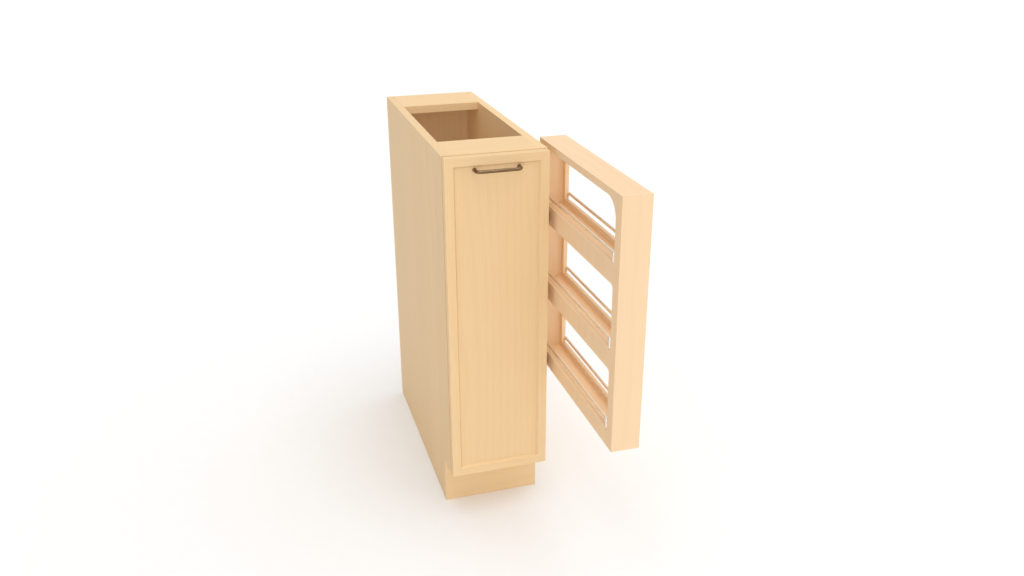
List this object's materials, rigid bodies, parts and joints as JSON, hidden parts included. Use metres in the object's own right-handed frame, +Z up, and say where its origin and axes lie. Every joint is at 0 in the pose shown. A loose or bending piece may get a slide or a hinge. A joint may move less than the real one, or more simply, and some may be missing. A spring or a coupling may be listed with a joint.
{
  "type": "narrow pull-out base cabinet with side rack",
  "caption": "Narrow kitchen base cabinet with an open top, a pull-out front with inner shelves, and a slim tiered rack that rolls along its right side.",
  "frame": {"origin": "on the floor, at the middle of the toe kick's underside", "axes": "+X to the right across the width, +Y from the front to the back, +Z up"},
  "size_m": [0.303, 0.9833, 0.8763],
  "materials": {
    "carcass_maple": "satin clear lacquer, faint grain",
    "back_ply": "satin clear lacquer on thin plywood",
    "front_maple": "satin clear lacquer, faint grain",
    "organizer_birch": "satin clear lacquer",
    "rack_birch": "satin clear lacquer",
    "dowel_beech": "plain",
    "bronze": "oil-rubbed bronze, brushed",
    "rod_metal": "satin plated",
    "zinc_steel": "zinc plated",
    "ball_steel": "polished",
    "screw_steel": "zinc plated",
    "roller_nylon": "white nylon",
    "bumper_gel": "translucent soft pad"
  },
  "bodies": {
    "cabinet": {"left_side": "carcass_maple", "right_side": "carcass_maple", "bottom_panel": "carcass_maple", "back_panel": "back_ply", "front_stretcher": "carcass_maple", "rear_stretcher": "carcass_maple", "toe_kick": "carcass_maple", "carcass_dowels": "dowel_beech", "slide_outer_left": "zinc_steel", "slide_outer_right": "zinc_steel", "slide_screws": "screw_steel", "rail_upper": "zinc_steel", "rail_lower": "zinc_steel", "rail_screws": "screw_steel", "rail_stops": "zinc_steel"},
    "front_pullout": {"door_stile_left": "front_maple", "door_stile_right": "front_maple", "door_rail_top": "front_maple", "door_rail_bottom": "front_maple", "door_panel": "front_maple", "handle": "bronze", "handle_screws": "screw_steel", "door_bumpers": "bumper_gel", "organizer_front_board": "organizer_birch", "organizer_rear_board": "organizer_birch", "organizer_base_left": "organizer_birch", "organizer_base_right": "organizer_birch", "organizer_shelf_bottom": "organizer_birch", "organizer_shelf_middle": "organizer_birch", "organizer_shelf_top": "organizer_birch", "organizer_rods": "rod_metal", "organizer_screws": "screw_steel", "slide_inner_left": "zinc_steel", "slide_inner_right": "zinc_steel"},
    "slide_middles": {"slide_middle_left": "zinc_steel", "slide_middle_right": "zinc_steel"},
    "outer_cages": {"outer_ball_cages": "ball_steel"},
    "inner_cages": {"inner_ball_cages": "ball_steel"},
    "side_rack": {"rack_front_board": "rack_birch", "rack_rear_board": "rack_birch", "rack_top_board": "rack_birch", "rack_near_side": "rack_birch", "rack_far_side": "rack_birch", "rack_shelf_top": "rack_birch", "rack_shelf_middle": "rack_birch", "rack_shelf_bottom": "rack_birch", "rack_rods_top": "rod_metal", "rack_rods_middle": "rod_metal", "rack_rods_bottom": "rod_metal", "carriage_upper": "zinc_steel", "carriage_lower": "zinc_steel", "roller_axles": "ball_steel", "carriage_screws": "screw_steel"},
    "roller_upper_front_wheel": {"roller_upper_front": "roller_nylon"},
    "roller_upper_rear_wheel": {"roller_upper_rear": "roller_nylon"},
    "roller_lower_front_wheel": {"roller_lower_front": "roller_nylon"},
    "roller_lower_rear_wheel": {"roller_lower_rear": "roller_nylon"}
  },
  "joints": [
    {"name": "front_slide", "type": "slide", "parent": "cabinet", "child": "front_pullout", "axis": [0, -1, 0], "range_m": [0, 0.45]},
    {"name": "middle_slide", "type": "slide", "parent": "cabinet", "child": "slide_middles", "axis": [0, -1, 0], "range_m": [0, 0.225]},
    {"name": "outer_cage_slide", "type": "slide", "parent": "cabinet", "child": "outer_cages", "axis": [0, -1, 0], "range_m": [0, 0.1125]},
    {"name": "inner_cage_slide", "type": "slide", "parent": "cabinet", "child": "inner_cages", "axis": [0, -1, 0], "range_m": [0, 0.3375]},
    {"name": "rack_slide", "type": "slide", "parent": "cabinet", "child": "side_rack", "axis": [0, 1, 0], "range_m": [0, 0.341]},
    {"name": "roller_upper_front_spin", "type": "hinge", "parent": "side_rack", "child": "roller_upper_front_wheel", "pos_m": [0.124, -0.03, 0.718], "axis": [1, 0, 0], "continuous": true},
    {"name": "roller_upper_rear_spin", "type": "hinge", "parent": "side_rack", "child": "roller_upper_rear_wheel", "pos_m": [0.124, 0.014, 0.718], "axis": [1, 0, 0], "continuous": true},
    {"name": "roller_lower_front_spin", "type": "hinge", "parent": "side_rack", "child": "roller_lower_front_wheel", "pos_m": [0.124, -0.03, 0.3685], "axis": [1, 0, 0], "continuous": true},
    {"name": "roller_lower_rear_spin", "type": "hinge", "parent": "side_rack", "child": "roller_lower_rear_wheel", "pos_m": [0.124, 0.014, 0.3685], "axis": [1, 0, 0], "continuous": true}
  ],
  "couplings": [
    {"joint": "middle_slide", "follows": "front_slide", "ratio": 0.5},
    {"joint": "outer_cage_slide", "follows": "front_slide", "ratio": 0.25},
    {"joint": "inner_cage_slide", "follows": "front_slide", "ratio": 0.75},
    {"joint": "roller_upper_front_spin", "follows": "rack_slide", "rad_per_m": -100},
    {"joint": "roller_upper_rear_spin", "follows": "rack_slide", "rad_per_m": -100},
    {"joint": "roller_lower_front_spin", "follows": "rack_slide", "rad_per_m": -100},
    {"joint": "roller_lower_rear_spin", "follows": "rack_slide", "rad_per_m": -100}
  ]
}
